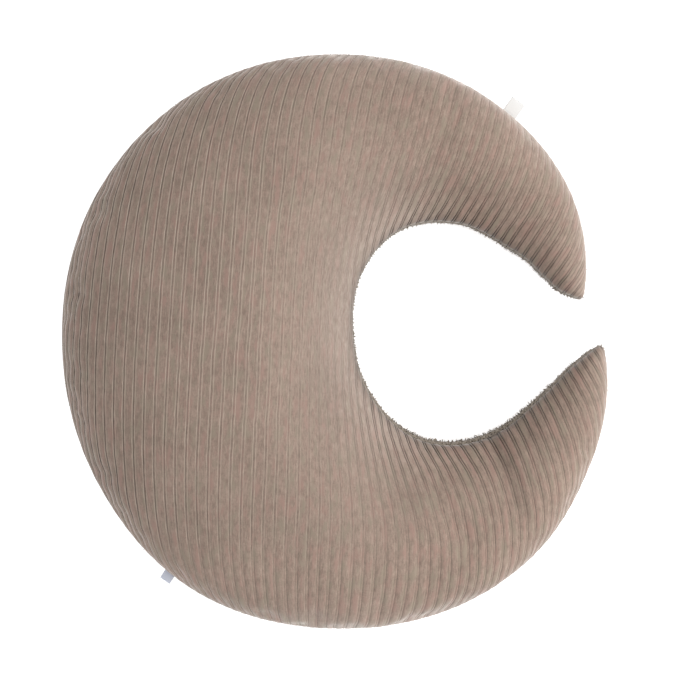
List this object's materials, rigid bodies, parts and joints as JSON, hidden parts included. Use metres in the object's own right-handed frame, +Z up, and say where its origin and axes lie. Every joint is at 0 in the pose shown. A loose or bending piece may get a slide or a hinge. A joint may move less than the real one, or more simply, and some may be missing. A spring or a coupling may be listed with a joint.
{
  "type": "moon-shaped cushion",
  "caption": "Filled crescent cushion with a ribbed velvet front, a teddy plush back and two small bare labels held in its rim seam.",
  "frame": {"origin": "centre of the footprint, on the surface that the cushion lies on", "axes": "+Z up out of the ribbed front, +X towards the open side of the crescent, +Y towards its upper horn as the front is seen"},
  "size_m": [0.5696, 0.5985, 0.1551],
  "materials": {
    "ribbed_velvet": "ribbed velvet, soft nap",
    "teddy_plush": "short curled plush",
    "woven_tape": "plain woven tape",
    "satin_tape": "satin tape"
  },
  "bodies": {
    "root": {"front_panel": "ribbed_velvet", "back_panel": "teddy_plush", "woven_label": "woven_tape", "care_label": "satin_tape"}
  },
  "joints": []
}
